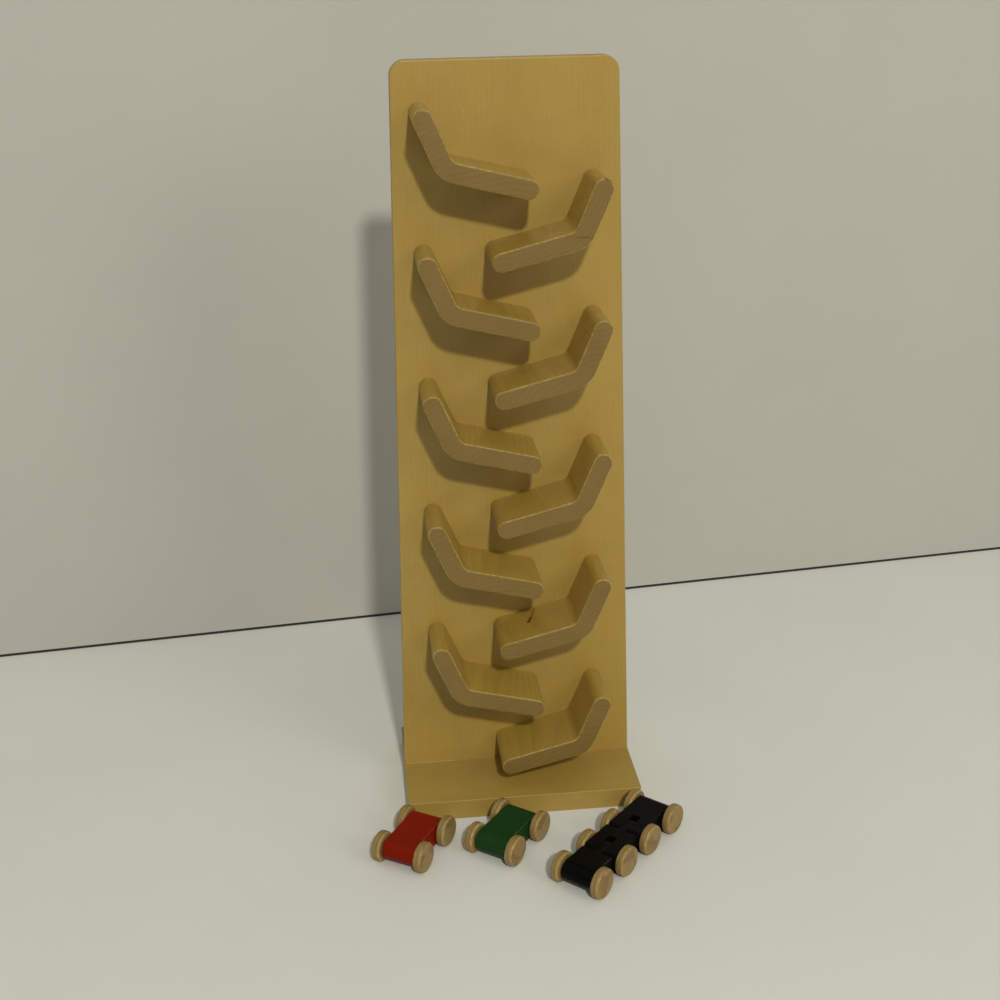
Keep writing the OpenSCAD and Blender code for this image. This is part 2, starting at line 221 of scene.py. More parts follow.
class StageSettings(bpy.types.PropertyGroup):
    """Floor, wall, lamps and camera."""

    camera_place: FloatVectorProperty(
        name="Camera place", description="Where the camera stands", default=(-0.10249, -0.90410, 0.58565),
        size=3, subtype="TRANSLATION", unit="LENGTH",
    )
    yaw: angle("Yaw", "Turn of the camera towards the right", 5.895)
    pitch: angle("Pitch", "Tilt of the camera below level", 22.481)
    roll: angle("Roll", "Turn of the camera about its view", -0.919)
    lens: FloatProperty(
        name="Lens", description="Focal length on a 36 mm sensor", default=54.146, subtype="DISTANCE_CAMERA"
    )
    wall_place: length("Wall place", "Middle of the wall's foot behind the tower", 0.2689)
    wall_turn: angle("Wall turn", "Turn of the wall about the upright", 5.76)
    floor: tint("Floor", "Pale floor", (0.71, 0.715, 0.648))
    wall: tint("Wall", "Pale wall", (0.465, 0.458, 0.405))
    key_bearing: angle("Key bearing", "Bearing of the key lamp to the right of straight ahead", 3.2)
    key_height: angle("Key height", "Height of the key lamp above level", 35.0)
    key_distance: length("Key distance", "Key lamp to the track", 3.6)
    key_size: length("Key size", "Width of the key lamp", 0.19)
    key_power: brightness("Key power", "Power of the key lamp", 71.0, "POWER")
    side_bearing: angle("Side bearing", "Bearing of the broad side lamp to the right", 42.0)
    side_height: angle("Side height", "Height of the side lamp above level", 25.0)
    side_distance: length("Side distance", "Side lamp to the track", 3.0)
    side_size: length("Side size", "Width of the side lamp", 1.3)
    side_power: brightness("Side power", "Power of the side lamp", 13.3, "POWER")
    fill_low: brightness("Low fill", "Even light from level and below", 0.12)
    fill_high: brightness("High fill", "Even light from straight above", 0.45)
    # The wall gap is a thin dark strip at the wall's foot: painted shade standing for the shadow in the gap
    # under the wall
    gap: length("Wall gap", "Dark gap under the wall", 0.0022)
    gap_colour: tint("Wall gap colour", "Dark of the gap under the wall", (0.012, 0.012, 0.012))
    lamp_colour: tint("Lamp colour", "Warm white of both lamps", (1.0, 0.96, 0.88))
    fill_colour: tint("Fill colour", "Cool white of the even light", (0.95, 0.98, 1.0))


# Shared helpers for shapes


def settings(name):
    """The scene's settings of one kind."""
    return getattr(bpy.context.scene, "track_" + name)


def new_piece(name, bm, body, nodes, material):
    """Turns a bmesh into a shaded piece that rides on a body and stands for some nodes."""
    mesh = bpy.data.meshes.new(name)
    bm.to_mesh(mesh)
    bm.free()
    mesh.shade_smooth()
    mesh.set_sharp_from_angle(angle=SMOOTH_ANGLE)
    mesh.materials.append(material)
    piece = bpy.data.objects.new(name, mesh)
    bpy.context.scene.collection.objects.link(piece)
    weighted = piece.modifiers.new("flat faces stay flat", "WEIGHTED_NORMAL")
    weighted.keep_sharp = True
    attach(piece, body)
    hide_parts(*nodes)


def everything(bm):
    """All points, edges and faces."""
    return bm.verts[:] + bm.edges[:] + bm.faces[:]


def only(kind, geom):
    """Those parts of a result that are of one kind."""
    return [g for g in geom if isinstance(g, kind)]


def face_out(bm):
    """Turns every face outward."""
    bmesh.ops.recalc_face_normals(bm, faces=bm.faces[:])


def move(bm, matrix):
    """Moves a whole shape."""
    bmesh.ops.transform(bm, matrix=matrix, verts=bm.verts[:])


def drop_faces(bm, faces):
    """Takes faces away and leaves their edges."""
    bmesh.ops.delete(bm, geom=[f for f in faces if f.is_valid], context="FACES_ONLY")


def tidy_mesh(bm, merge=TINY):
    """Merges doubled points and turns every face outward."""
    bmesh.ops.remove_doubles(bm, verts=bm.verts[:], dist=merge)
    bmesh.ops.delete(bm, geom=[e for e in bm.edges if not e.link_faces], context="EDGES")
    face_out(bm)


def box_shape(lo, hi, matrix=None):
    """A block between two corners."""
    low = Vector(lo)
    high = Vector(hi)
    bm = bmesh.new()
    place = Matrix.Translation((low + high) / 2) @ Matrix.Diagonal((*(high - low), 1))
    bmesh.ops.create_cube(bm, size=1.0, matrix=(matrix or Matrix()) @ place)
    face_out(bm)
    return bm


def lathe(bm, points, matrix, steps):
    """Turns a line of (radius, height) points right round the local Z axis."""
    first = bmesh.ops.create_vert(bm, co=(points[0][0], 0, points[0][1]))["vert"][0]
    last = first
    for radius, height in points[1:]:
        last = bmesh.ops.extrude_vert_indiv(bm, verts=[last])["verts"][0]
        last.co = (radius, 0, height)
    bmesh.ops.spin(
        bm, geom=bm.verts[:] + bm.edges[:], cent=(0, 0, 0), axis=(0, 0, 1),
        angle=math.tau, steps=steps, use_merge=True,
    )
    tidy_mesh(bm)
    move(bm, matrix)
    face_out(bm)


def arc(centre, radius, start, end, steps):
    """Points on a circle from one angle to another, both ends included."""
    turns = [start + (end - start) * i / steps for i in range(steps + 1)]
    return [(centre[0] + radius * math.cos(a), centre[1] + radius * math.sin(a)) for a in turns]


def cut(bm, cutters, operation="DIFFERENCE"):
    """Cuts shapes out of another, or joins them on, worked in millimetres for clean edges."""
    scratch = bpy.data.collections.new("scratch")
    bpy.context.scene.collection.children.link(scratch)
    made = []
    for shape in [bm] + cutters:
        bmesh.ops.scale(shape, vec=Vector((1, 1, 1)) * MILLIMETRES, verts=shape.verts[:])
        mesh = bpy.data.meshes.new("scratch")
        shape.to_mesh(mesh)
        shape.free()
        holder = bpy.data.objects.new("scratch", mesh)
        scratch.objects.link(holder)
        made.append(holder)
    for cutter in made[1:]:
        carve = made[0].modifiers.new("carve", "BOOLEAN")
        carve.operation = operation
        carve.solver = "EXACT"
        carve.object = cutter
    graph = bpy.context.evaluated_depsgraph_get()
    result = bmesh.new()
    result.from_mesh(made[0].evaluated_get(graph).to_mesh())
    for holder in made:
        mesh = holder.data
        bpy.data.objects.remove(holder)
        bpy.data.meshes.remove(mesh)
    bpy.data.collections.remove(scratch)
    bmesh.ops.remove_doubles(result, verts=result.verts[:], dist=CUT_MERGE)
    bmesh.ops.dissolve_degenerate(result, edges=result.edges[:], dist=CUT_MERGE)
    bmesh.ops.scale(result, vec=Vector((1, 1, 1)) / MILLIMETRES, verts=result.verts[:])
    return result


def edges_where(bm, test):
    """Edges whose two ends both pass a test."""
    return [e for e in bm.edges if test(e.verts[0].co) and test(e.verts[1].co)]


def edges_at(bm, axis, value):
    """Edges that lie at one place along an axis."""
    return edges_where(bm, lambda co: abs(co[axis] - value) < CLOSE)


def upright_edges(edges):
    """Those edges whose ends differ in Z."""
    return [e for e in edges if abs(e.verts[0].co.z - e.verts[1].co.z) > SLIGHT]


def sharp_edges(edges):
    """Those edges that are sharp enough to round."""
    return [e for e in edges if e.calc_face_angle(0) > SHARP]


def round_edges(bm, edges, radius, segments):
    """Rounds edges with an even bevel."""
    bmesh.ops.bevel(
        bm, geom=edges, offset=radius, offset_type="OFFSET", segments=segments, profile=0.5,
        affect="EDGES", clamp_overlap=True, material=-1,
    )


def strip_section(bm, place, across, depth_lo, depth_hi, thick, ease, ease_back):
    """A flat section of a strip with eased corners, split along its middle."""
    middle = (depth_lo + depth_hi) / 2
    columns = Matrix((
        (across.x * thick, 0, 0, place.x),
        (across.y * thick, 0, 0, place.y),
        (0, depth_hi - depth_lo, 0, middle),
        (0, 0, 0, 1),
    ))
    made = bmesh.ops.create_grid(bm, x_segments=1, y_segments=1, size=0.5, matrix=columns)["verts"]
    corners = [v for v in made if v.co.z > middle or ease_back]
    bmesh.ops.bevel(
        bm, geom=corners, offset=ease, offset_type="OFFSET", segments=SECTION_STEPS, profile=0.5,
        affect="VERTICES", clamp_overlap=True, material=-1,
    )
    bmesh.ops.bisect_plane(bm, geom=everything(bm), plane_co=place, plane_no=across)
    return bm.faces[:]


def carry(bm, faces, step, keep_start=True):
    """Draws end faces out along a step and gives the new end faces."""
    drawn = bmesh.ops.extrude_face_region(bm, geom=faces)["geom"]
    bmesh.ops.translate(bm, vec=step, verts=only(bmesh.types.BMVert, drawn))
    if not keep_start:
        drop_faces(bm, faces)
    return only(bmesh.types.BMFace, drawn)


def round_tip(bm, faces, place, across):
    """Turns one half of an end about its middle into a full round tip."""
    lower = [f for f in faces if (f.calc_center_median() - place).dot(across) < 0]
    upper = [f for f in faces if f not in lower]
    outward = lower[0].normal.copy()
    drop_faces(bm, upper)
    spin_axis = across.cross(outward)
    made = bmesh.ops.spin(
        bm, geom=lower, cent=place, axis=spin_axis, angle=-math.pi, steps=TIP_STEPS, use_merge=False
    )
    drop_faces(bm, only(bmesh.types.BMFace, made["geom_last"]) + lower)


def round_strip(depth_lo, depth_hi, thick, ease, ease_back, arm_a, arm_b, bend):
    """A strip of two arms with a bend between them and a full round tip on both."""
    heading_a = Vector((math.cos(arm_a[0]), math.sin(arm_a[0]), 0))
    heading_b = Vector((math.cos(arm_b[0]), math.sin(arm_b[0]), 0))
    turn = math.pi - heading_a.angle(heading_b)
    tangent = bend * math.tan(turn / 2)
    across_a = Vector((-heading_a.y, heading_a.x, 0))
    across_b = Vector((heading_b.y, -heading_b.x, 0))
    bm = bmesh.new()
    tip_a = heading_a * arm_a[1]
    tip_b = heading_b * arm_b[1]
    ends = strip_section(bm, tip_a, across_a, depth_lo, depth_hi, thick, ease, ease_back)
    ends = carry(bm, ends, heading_a * (tangent - arm_a[1]))
    if turn > SLIGHT:
        inside = (heading_a + heading_b).normalized()
        centre = inside * (bend / math.cos(turn / 2))
        axis = heading_b.cross(heading_a).normalized()
        spun = bmesh.ops.spin(
            bm, geom=ends, cent=centre, axis=axis, angle=turn, steps=BEND_STEPS, use_merge=False
        )
        drop_faces(bm, ends)
        ends = only(bmesh.types.BMFace, spun["geom_last"])
    ends = carry(bm, ends, heading_b * (arm_b[1] - tangent), False)
    face_out(bm)
    for tip, heading, across in ((tip_a, heading_a, across_a), (tip_b, heading_b, across_b)):
        ends = [f for f in bm.faces if all(abs((v.co - tip).dot(heading)) < CLOSE for v in f.verts)]
        round_tip(bm, ends, tip, across)
    tidy_mesh(bm, CLOSE)
    return bm


def tower_matrix():
    """The board's own frame: X right, Y up its face, Z out of its face."""
    tower = settings("tower")
    lo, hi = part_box("base")
    place = Matrix.Translation((0, lo[1] + tower.front_reach, hi[2]))
    return place @ Matrix.Rotation(math.pi / 2 - tower.lean, 4, "X")


def tower_turn():
    """How the board's own frame is turned."""
    return tower_matrix().to_3x3().to_4x4()


def axes_matrix(place, right, up, out):
    """A frame from its place and its three axes."""
    return Matrix.Translation(place) @ Matrix((right, up, out)).transposed().to_4x4()


def ramp_matrix(index):
    """A ramp's frame on the board, its bend point at the origin, mirrored on the right."""
    tower = settings("tower")
    ramp = settings("ramp")
    part = index / (len(RAMPS) - 1)
    span = tower.board_height - ramp.top_drop - ramp.foot_rise
    height = tower.board_height - ramp.top_drop - span * part
    flip = Matrix.Diagonal((1 if index % 2 == 0 else -1, 1, 1, 1))
    return tower_matrix() @ flip @ Matrix.Translation((-ramp.offset, height, 0))


def joint_named(name):
    """A joint of the frame by its name."""
    return next(j for j in frame["joints"] if j["name"] == name)


def car_matrix(rear_joint):
    """A car's frame: X to its rear along the floor, Y up, Z along the axles, at the rear axle."""
    joint = joint_named(rear_joint)
    axles = Vector(joint["axis"]).normalized()
    up = Vector((0, 0, 1))
    return axes_matrix(Vector(joint["pos_m"]), up.cross(axles), up, axles)


def axle_offset(matrix, joint_name):
    """How far an axle lies behind the rear axle, below nought when it is ahead."""
    return (matrix.inverted() @ Vector(joint_named(joint_name)["pos_m"])).x


# Shared helpers for materials


def feed(tree, value, socket):
    """Links a socket to another, or gives it a plain value."""
    if isinstance(value, bpy.types.NodeSocket):
        tree.links.new(value, socket)
    else:
        socket.default_value = value


def feed_first(tree, node, *values):
    """Feeds the first sockets of a node in turn."""
    for value, socket in zip(values, node.inputs):
        feed(tree, value, socket)


def feed_named(tree, node, values):
    """Feeds sockets of a node by their names."""
    for name, value in values.items():
        feed(tree, value, node.inputs[name])


def add_node(tree, kind, **values):
    """Adds a node, sets its own values and feeds those sockets that are named."""
    made = tree.nodes.new(kind)
    for key, value in values.items():
        if key in made.inputs:
            feed(tree, value, made.inputs[key])
        else:
            setattr(made, key, value)
    return made


def math_node(tree, operation, *values, clamp=False):
    """One sum on one or two values or sockets."""
    made = add_node(tree, "ShaderNodeMath", operation=operation, use_clamp=clamp)
    feed_first(tree, made, *values)
    return made.outputs[0]


def vector_node(tree, operation, *values):
    """One sum on one or two vectors or sockets."""
    made = add_node(tree, "ShaderNodeVectorMath", operation=operation)
    feed_first(tree, made, *values)
    return made


def times(tree, first, second):
    """Two values or sockets multiplied."""
    return math_node(tree, "MULTIPLY", first, second)


def plus(tree, first, second):
    """Two values or sockets added."""
    return math_node(tree, "ADD", first, second)


def wash(tree, colour, mask, weight, other):
    """Another colour laid over one through a mask."""
    return blend(tree, times(tree, mask, weight), colour, other)


def dimmed(colour, share):
    """A share of a colour's light."""
    return tuple(share * c for c in colour)


def stretch(tree, value, lo, hi, to_lo=0.0, to_hi=1.0):
    """Maps one range of a value on another, held at its ends."""
    ranges = {"Value": value, "From Min": lo, "From Max": hi, "To Min": to_lo, "To Max": to_hi}
    made = add_node(tree, "ShaderNodeMapRange", interpolation_type="SMOOTHSTEP", **ranges)
    return made.outputs["Result"]


def blend(tree, factor, first, second):
    """Mixes two colours or sockets."""
    made = add_node(tree, "ShaderNodeMix", data_type="RGBA", blend_type="MIX", clamp_factor=True)
    feed(tree, factor, made.inputs[0])
    for index, value in ((6, first), (7, second)):
        plain = not isinstance(value, bpy.types.NodeSocket)
        feed(tree, (*value, 1.0) if plain else value, made.inputs[index])
    return made.outputs[2]


def scaled(tree, vector, factors):
    """A vector stretched along its axes."""
    return vector_node(tree, "MULTIPLY", vector, factors).outputs[0]


def noise(tree, vector, scale, detail=3.0, rough=0.5, bend=0.0):
    """One noise value read at a vector."""
    made = add_node(
        tree, "ShaderNodeTexNoise", Vector=vector, Scale=scale, Detail=detail, Roughness=rough,
        Distortion=bend,
    )
    return made.outputs[0]


def new_group(name, values, results):
    """An empty shared effect that takes a vector and some values, with its two end nodes."""
    group = bpy.data.node_groups.new(name, "ShaderNodeTree")
    group.interface.new_socket(name="Vector", in_out="INPUT", socket_type="NodeSocketVector")
    for label, default in values.items():
        made = group.interface.new_socket(name=label, in_out="INPUT", socket_type="NodeSocketFloat")
        made.default_value = default
    for label in results:
        group.interface.new_socket(name=label, in_out="OUTPUT", socket_type="NodeSocketFloat")
    return group, group.nodes.new("NodeGroupInput"), group.nodes.new("NodeGroupOutput")


def wood_group():
    """Growth rings about the local Z axis, fibres along it and fine pores."""
    name = "wood figure"
    if name in bpy.data.node_groups:
        return bpy.data.node_groups[name]
    values = {"Ring Spacing": 0.0032, "Wander": 0.004}
    group, start, end = new_group(name, values, ("Rings", "Fibres", "Pores", "Clouds", "Height"))
    place = start.outputs["Vector"]
    broad = noise(group, scaled(group, place, (18, 18, 4)), 1.0, 2.0, 0.5, 0.3)
    small = noise(group, scaled(group, place, (160, 160, 18)), 1.0, 3.0, 0.55)
    reach = vector_node(group, "LENGTH", scaled(group, place, (1, 1, 0)))
    drift = times(group, math_node(group, "SUBTRACT", broad, 0.5), start.outputs["Wander"])
    fine = times(group, math_node(group, "SUBTRACT", small, 0.5), 0.0011)
    radius = plus(group, plus(group, reach.outputs["Value"], drift), fine)
    rings = math_node(group, "FRACT", math_node(group, "DIVIDE", radius, start.outputs["Ring Spacing"]))
    late = math_node(group, "POWER", rings, 2.4)
    late = times(group, late, stretch(group, rings, 0.93, 1.0, 1.0, 0.0))
    fibres = noise(group, scaled(group, place, (2600, 2600, 70)), 1.0, 3.0, 0.6)
    streaks = noise(group, scaled(group, place, (700, 700, 14)), 1.0, 2.0, 0.5)
    fibres = plus(group, times(group, fibres, 0.6), times(group, streaks, 0.4))
    specks = noise(group, scaled(group, place, (3800, 3800, 330)), 1.0, 1.0, 0.4)
    pores = stretch(group, specks, 0.66, 0.74)
    clouds = noise(group, scaled(group, place, (30, 30, 9)), 1.0, 3.0, 0.6, 0.5)
    height = math_node(group, "SUBTRACT", fibres, times(group, pores, 0.8))
    height = plus(group, height, times(group, late, 0.25))
    results = {"Rings": late, "Fibres": fibres, "Pores": pores, "Clouds": clouds, "Height": height}
    feed_named(group, end, results)
    return group


def wear_group():
    """Rubbed edges that also carry a painted highlight, faint smudges and short scratches for any surface.
    """
    name = "handling"
    if name in bpy.data.node_groups:
        return bpy.data.node_groups[name]
    group, start, end = new_group(name, {"Facing": 0.0}, ("Edges", "Smudges", "Scratches"))
    place = start.outputs["Vector"]
    facing = start.outputs["Facing"]
    # Edges: eased faces between square and side-on, lightened partly as rubbed wear and partly as a painted
    # highlight
    sharp = times(group, stretch(group, facing, 0.12, 0.35), stretch(group, facing, 0.82, 0.97, 1.0, 0.0))
    broken = stretch(group, noise(group, place, 420.0, 4.0, 0.6), 0.40, 0.66)
    edges = times(group, sharp, broken)
    smudges = stretch(group, noise(group, place, 55.0, 3.0, 0.55, 0.6), 0.42, 0.72)
    turned = add_node(
        group, "ShaderNodeMapping", Vector=place, Rotation=(0.5, 0.3, 0.8), Scale=(2600, 45, 900)
    )
    lines = stretch(group, noise(group, turned.outputs[0], 1.0, 1.0, 0.3), 0.735, 0.775)
    patches = stretch(group, noise(group, place, 26.0, 2.0), 0.52, 0.62)
    scratches = times(group, lines, patches)
    feed_named(group, end, {"Edges": edges, "Smudges": smudges, "Scratches": scratches})
    return group


def call_group(tree, group, values):
    """Puts a shared effect in a material and feeds it."""
    return add_node(tree, "ShaderNodeGroup", node_tree=group, **values)


def new_material(name):
    """A material with an empty principled shader, ready for its links."""
    material = bpy.data.materials.new(name)
    material.use_nodes = True
    tree = material.node_tree
    shader = next(n for n in tree.nodes if n.type == "BSDF_PRINCIPLED")
    return material, tree, shader


def placed_vector(tree, matrix):
    """Object coordinates read in another frame, given by where its axes lie."""
    coords = tree.nodes.new("ShaderNodeTexCoord")
    place, turn, _ = matrix.decompose()
    mapping = add_node(
        tree, "ShaderNodeMapping", vector_type="TEXTURE", Vector=coords.outputs["Object"],
        Location=place, Rotation=turn.to_euler(),
    )
    return mapping.outputs[0]


def facing_share(tree, axis):
    """How squarely a face looks along an axis: one when square to it, nought when it lies along it."""
    shape = tree.nodes.new("ShaderNodeTexCoord")
    along = vector_node(tree, "DOT_PRODUCT", shape.outputs["Normal"], axis.normalized())
    return math_node(tree, "ABSOLUTE", along.outputs["Value"])


def bump(tree, shader, height, strength, distance):
    """Feeds a height through a bump into a shader."""
    made = add_node(tree, "ShaderNodeBump", Strength=strength, Distance=distance, Height=height)
    tree.links.new(made.outputs[0], shader.inputs["Normal"])


def wood_material(
    name, matrix, pale, deep, ends=None, spacing=0.0032, wander=0.004, rough=0.42, coat=0.2, rings=0.8,
    marks=(), flat=None, rubbed_and_highlighted=0.55,
):
    """Lacquered wood with its grain along the Z axis of a frame, with its marks laid over it."""
    material, tree, shader = new_material(name)
    vector = placed_vector(tree, matrix)
    facing = facing_share(tree, flat or matrix.col[2].xyz)
    grain = {"Vector": vector, "Ring Spacing": spacing, "Wander": wander}
    figure = call_group(tree, wood_group(), grain)
    wear_and_highlight = call_group(tree, wear_group(), {"Vector": vector, "Facing": facing})
    depth = times(tree, figure.outputs["Rings"], rings)
    depth = plus(tree, depth, stretch(tree, figure.outputs["Clouds"], 0.3, 0.75, 0.0, 0.28))
    streaks = stretch(tree, figure.outputs["Fibres"], 0.35, 0.7, 0.0, 0.22)
    depth = math_node(tree, "ADD", depth, streaks, clamp=True)
    colour = blend(tree, depth, pale, deep)
    if ends:
        end_share = stretch(tree, facing, 0.55, 0.92)
        end_colour = blend(tree, depth, ends[0], ends[1])
        colour = blend(tree, end_share, colour, end_colour)
        coat = stretch(tree, end_share, 0.0, 1.0, coat, 0.15 * coat)
    colour = wash(tree, colour, figure.outputs["Pores"], 0.35, dimmed(deep, 0.5))
    colour = wash(tree, colour, wear_and_highlight.outputs["Smudges"], 0.10, dimmed(deep, 0.7))
    # Lighter wood on the eased edges: partly rubbed wear, partly a painted highlight
    colour = wash(tree, colour, wear_and_highlight.outputs["Edges"], rubbed_and_highlighted, settings("wood").worn)
    for start, end, radius, soft, tone, depth_share in marks:
        colour = wash(tree, colour, mark_mask(tree, start, end, radius, soft), depth_share, tone)
    gloss = stretch(tree, figure.outputs["Fibres"], 0.3, 0.7, rough - 0.06, rough + 0.08)
    gloss = plus(tree, gloss, times(tree, wear_and_highlight.outputs["Smudges"], 0.08))
    feed_named(tree, shader, {
        "Base Color": colour, "Roughness": gloss, "Coat Weight": coat, "Coat Roughness": 0.28,
        "Specular IOR Level": 0.32,
    })
    height = math_node(tree, "SUBTRACT", figure.outputs["Height"], wear_and_highlight.outputs["Scratches"])
    bump(tree, shader, height, 0.35, 0.00006)
    return material


def mark_mask(tree, start, end, radius, soft):
    """A mask that is one along a short line in Object coordinates and fades past a radius."""
    coords = tree.nodes.new("ShaderNodeTexCoord")
    along = end - start
    away = vector_node(tree, "SUBTRACT", coords.outputs["Object"], start).outputs[0]
    part = vector_node(tree, "DOT_PRODUCT", away, along / along.length_squared).outputs["Value"]
    held = math_node(tree, "MAXIMUM", math_node(tree, "MINIMUM", part, 1.0), 0.0)
    foot = vector_node(tree, "SCALE", along)
    feed(tree, held, foot.inputs["Scale"])
    rest = vector_node(tree, "DISTANCE", away, foot.outputs[0])
    ragged = stretch(tree, noise(tree, coords.outputs["Object"], 1800.0, 3.0), 0.3, 0.7, 0.7, 1.3)
    return stretch(tree, times(tree, rest.outputs["Value"], ragged), radius, radius + soft, 1.0, 0.0)


def paint_material(name, matrix, colour, rough=0.32):
    """Satin paint over wood: faint grain below it, dust, fine scratches and rubbed edges that also carry a
    painted highlight.
    """
    material, tree, shader = new_material(name)
    vector = placed_vector(tree, matrix)
    facing = facing_share(tree, matrix.col[0].xyz)
    figure = call_group(tree, wood_group(), {"Vector": vector, "Ring Spacing": 0.004})
    wear_and_highlight = call_group(tree, wear_group(), {"Vector": vector, "Facing": facing})
    tone = stretch(tree, figure.outputs["Clouds"], 0.3, 0.7, 0.0, 0.35)
    base = blend(tree, tone, colour, dimmed(colour, 0.72))
    dusty = tuple(0.75 * c + 0.012 for c in colour)
    base = wash(tree, base, wear_and_highlight.outputs["Smudges"], 0.10, dusty)
    base = wash(tree, base, wear_and_highlight.outputs["Scratches"], 0.22, dusty)
    # Lighter wood on the eased edges: partly rubbed wear, partly a painted highlight
    base = wash(tree, base, wear_and_highlight.outputs["Edges"], 0.10, settings("wood").worn)
    gloss = plus(tree, times(tree, wear_and_highlight.outputs["Smudges"], 0.12), rough)
    gloss = plus(tree, gloss, times(tree, wear_and_highlight.outputs["Scratches"], 0.2))
    feed_named(tree, shader, {
        "Base Color": base, "Roughness": gloss, "Specular IOR Level": 0.04, "Coat Weight": 0.01,
        "Coat Roughness": 0.2,
    })
    skin = noise(tree, vector, 900.0, 2.0, 0.5)
    height = plus(tree, times(tree, figure.outputs["Height"], 0.35), skin)
    bump(tree, shader, height, 0.22, 0.00005)
    return material


def steel_material(name):
    """Plated screw steel with a fine mottle."""
    steel = settings("paint").steel
    material, tree, shader = new_material(name)
    vector = placed_vector(tree, Matrix())
    mottled = noise(tree, vector, 900.0, 4.0, 0.6)
    base = blend(tree, stretch(tree, mottled, 0.3, 0.7), steel, dimmed(steel, 0.62))
    gloss = stretch(tree, mottled, 0.3, 0.7, 0.26, 0.48)
    feed_named(tree, shader, {"Base Color": base, "Roughness": gloss, "Metallic": 1.0})
    bump(tree, shader, noise(tree, vector, 2600.0, 2.0), 0.2, 0.00003)
    return material


# The pieces, one operator for each kind


def screw_lines(length_value):
    """Outline of a screw, its head at the bottom."""
    screw = settings("screw")
    head_height = (screw.head - screw.shank) / 2
    tip = screw.shank
    return [
        (0, 0), (screw.head / 2, 0), (screw.shank / 2, head_height),
        (screw.shank / 2, length_value - tip), (screw.shank / 8, length_value), (0, length_value),
    ]


def screw_shape(length_value):
    """A countersunk screw with a cross recess in its head."""
    screw = settings("screw")
    bm = bmesh.new()
    lathe(bm, screw_lines(length_value), Matrix(), SCREW_STEPS)
    half = screw.slot_width / 2
    reach = screw.slot_span / 2
    deep = screw.slot_depth
    bm = cut(bm, [box_shape((-reach, -half, -deep), (reach, half, deep))])
    return cut(bm, [box_shape((-half, -reach, -deep), (half, reach, deep))])


def screw_hole(length_value, matrix):
    """The countersunk hole of a screw, open below its head."""
    screw = settings("screw")
    head_height = (screw.head - screw.shank) / 2
    wide = screw.head / 2 + screw.fit
    slim = screw.shank / 2 + screw.fit
    end = length_value + screw.sink
    outline = [
        (0, -HOLE_CLEAR), (wide, -HOLE_CLEAR), (wide, 0), (slim, head_height), (slim, end), (0, end),
    ]
    bm = bmesh.new()
    lathe(bm, outline, matrix, SCREW_STEPS)
    return bm


def ramp_screw_places():
    """Frames of the screws behind the ramps, pointing out of the board."""
    tower = settings("tower")
    ramp = settings("ramp")
    screw = settings("screw")
    arms = ((math.pi - ramp.rise_slope, screw.rise_place), (-ramp.run_slope, screw.run_place))
    depth = screw.sink - tower.board_thick
    places = []
    for index in range(len(RAMPS)):
        for heading, reach in arms:
            spot = Vector((math.cos(heading) * reach, math.sin(heading) * reach, depth))
            places.append(Matrix.Translation(ramp_matrix(index) @ spot) @ tower_turn())
    return places


def base_screw_places():
    """Frames of the screws under the base, read from where the frame has them."""
    lo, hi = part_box("base_screws")
    screw = settings("screw")
    middle = (lo[1] + hi[1]) / 2
    first = lo[0] + screw.head / 2
    last = hi[0] - screw.head / 2
    return [Matrix.Translation((first + (last - first) * i / 3, middle, lo[2])) for i in range(4)]


def seam_marks():
    """A light line on the left where the board stands in the base, and a scratch near its top."""
    tower = settings("tower")
    worn = settings("wood").worn
    place = tower_matrix()
    lo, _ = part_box("base")
    start = place @ Vector((lo[0], 0, 0))
    end = place @ Vector((0.55 * lo[0], 0, 0))
    high = place @ Vector((-0.0285, tower.board_height - 0.0255, 0))
    low = place @ Vector((-0.0245, tower.board_height - 0.0335, 0))
    return [(start, end, 0.0002, 0.0004, worn, 0.55), (high, low, 0.00005, 0.0003, worn, 0.45)]


class TRACK_OT_base(bpy.types.Operator):
    """Builds the base with its slanted groove and screw holes"""

    bl_idname = "track.base"
    bl_label = "Base"

    def execute(self, context):
        tower = settings("tower")
        wood = settings("wood")
        lo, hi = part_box("base")
        bm = box_shape(lo, hi)
        round_edges(bm, upright_edges(bm.edges), tower.base_corner, BASE_CORNER_STEPS)
        rims = sharp_edges(edges_at(bm, 2, hi[2]) + edges_at(bm, 2, lo[2]))
        round_edges(bm, rims, tower.ease / 2, EASE_STEPS)
        slot = box_shape(
            (-GROOVE_REACH, -tower.groove, -tower.board_thick - tower.slack),
            (GROOVE_REACH, tower.groove, tower.slack), tower_matrix(),
        )
        bm = cut(bm, [slot])
        holes = [screw_hole(settings("screw").base_length, place) for place in base_screw_places()]
        bm = cut(bm, holes)
        heart = Matrix.Translation((0.0, HEART_BESIDE, -HEART_BEHIND))
        grain = heart @ Matrix.Rotation(math.pi / 2, 4, "Y")
        material = wood_material(
            "base wood", grain, wood.board_pale, wood.board_deep, rings=0.22,
            marks=seam_marks(), flat=Vector((0, 0, 1)), rubbed_and_highlighted=0.05,
        )
        new_piece("base_plank", bm, "tower", ["base"], material)
        return {"FINISHED"}


